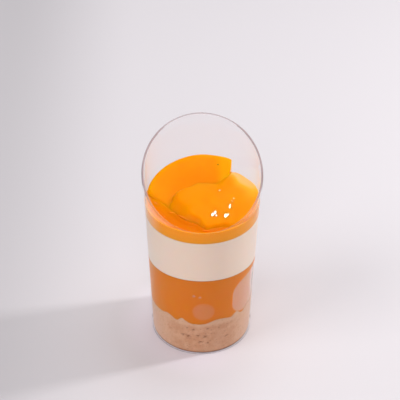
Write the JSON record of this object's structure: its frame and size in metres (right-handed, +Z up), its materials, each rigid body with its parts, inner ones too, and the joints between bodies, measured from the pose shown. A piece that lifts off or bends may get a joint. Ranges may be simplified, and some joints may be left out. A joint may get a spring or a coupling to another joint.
{
  "type": "cheesecake cup",
  "caption": "Layered peach cheesecake in a clear cup with a slanted rim: biscuit crumb, fruit jelly, cream, and fruit glaze under peach slices.",
  "frame": {"origin": "centre of the cup's underside, on the surface it stands on", "axes": "+Z up along the cup's axis; +Y towards the high side of the slanted rim, so the low lip faces -Y; +X to the right seen from the low lip"},
  "size_m": [0.055, 0.0549, 0.1034],
  "materials": {
    "clear_cup": "clear thin-walled plastic, polished",
    "crumb": "pressed biscuit crumb, matte and porous",
    "jelly": "orange fruit jelly, cloudy",
    "cream": "set cheesecake cream, smooth",
    "glaze": "orange fruit glaze, wet",
    "peach_cut": "cut face of preserved peach, wet",
    "peach_skin": "rounded side of preserved peach, wet"
  },
  "bodies": {
    "root": {"cup": "clear_cup", "crumb_base": "crumb", "fruit_jelly": "jelly", "cheese_cream": "cream", "fruit_glaze": "glaze", "peach_slice_back": "peach_cut", "peach_slice_front": "peach_skin"}
  },
  "joints": []
}
